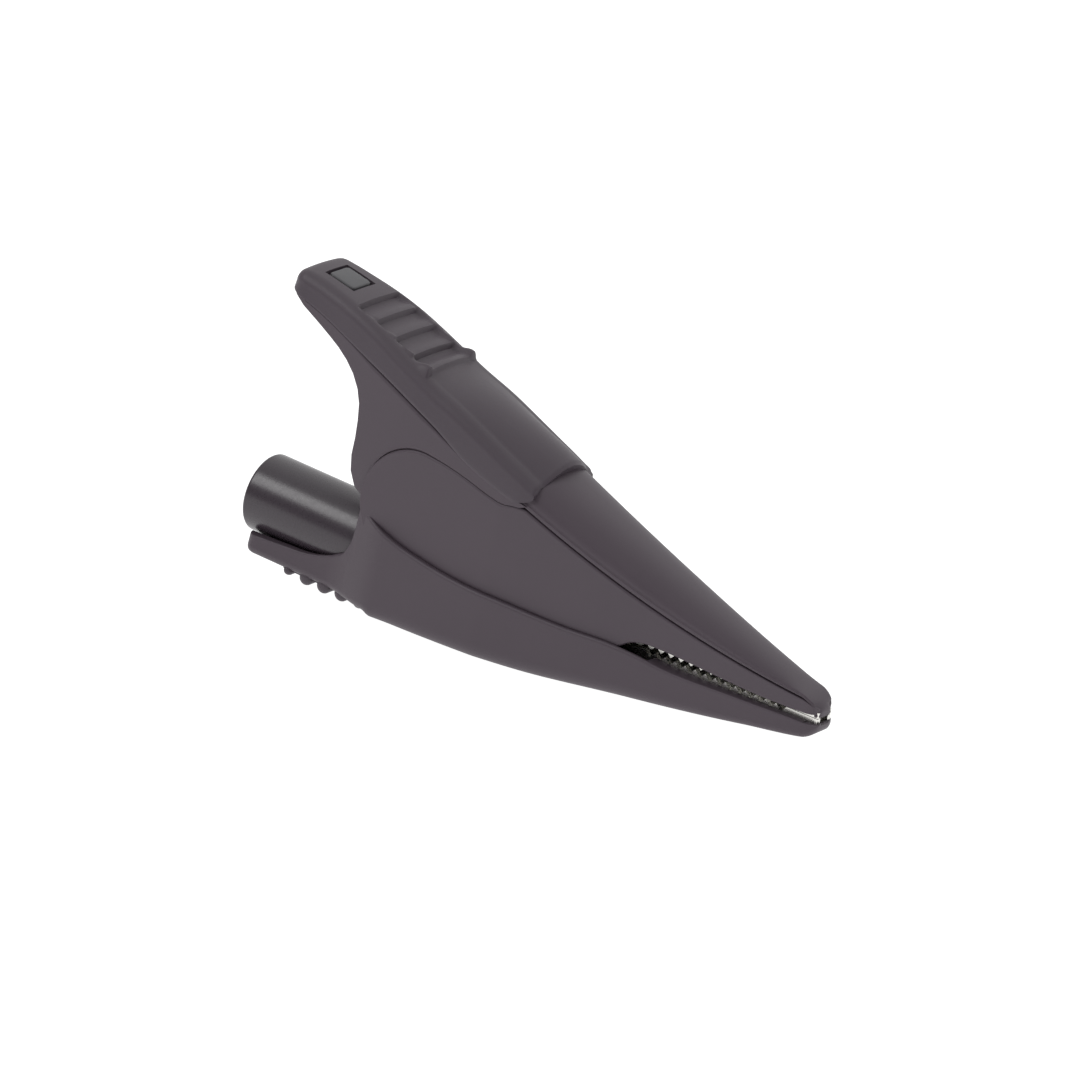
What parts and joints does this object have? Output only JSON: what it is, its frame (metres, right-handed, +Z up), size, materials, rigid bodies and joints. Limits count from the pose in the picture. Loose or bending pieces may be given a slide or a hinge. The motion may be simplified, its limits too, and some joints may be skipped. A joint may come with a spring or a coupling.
{
  "type": "alligator clip",
  "caption": "Insulated alligator clip for test leads, with a shrouded 4 mm socket, thumb lever, finger rest and toothed spring jaws.",
  "frame": {"origin": "centre of the socket's mouth", "axes": "+X towards the jaw tip, +Y across the clip, +Z up with the clip lying on its belly, so that the socket's axis dips 7 degrees towards the tip"},
  "size_m": [0.1013, 0.0184, 0.0497],
  "materials": {
    "shell": "satin charcoal moulding",
    "grip": "soft satin black",
    "inlay": "satin black",
    "sleeve": "glossy black",
    "core": "satin black",
    "contact": "nickel plated",
    "jaw": "nickel plated",
    "fastener": "zinc plated",
    "spring": "drawn wire"
  },
  "bodies": {
    "lower_half": {"lower_shell": "shell", "finger_grip": "grip", "socket_sleeve": "sleeve", "socket_core": "core", "socket_contact": "contact", "contact_screw": "fastener", "lower_jaw": "jaw", "pivot_pin": "fastener", "pivot_washers": "fastener", "torsion_spring": "spring"},
    "upper_half": {"cheek_shell": "shell", "lever_shell": "shell", "thumb_pad": "grip", "thumb_inlay": "inlay", "upper_jaw": "jaw"}
  },
  "joints": [
    {"name": "jaw_hinge", "type": "hinge", "parent": "lower_half", "child": "upper_half", "pos_m": [0.03189, 0, 0.00616], "axis": [0, -1, 0], "range_deg": [0, 28], "stiffness_Nm_per_rad": 0.35, "springref_deg": -40.11, "deforming": ["torsion_spring"]}
  ]
}
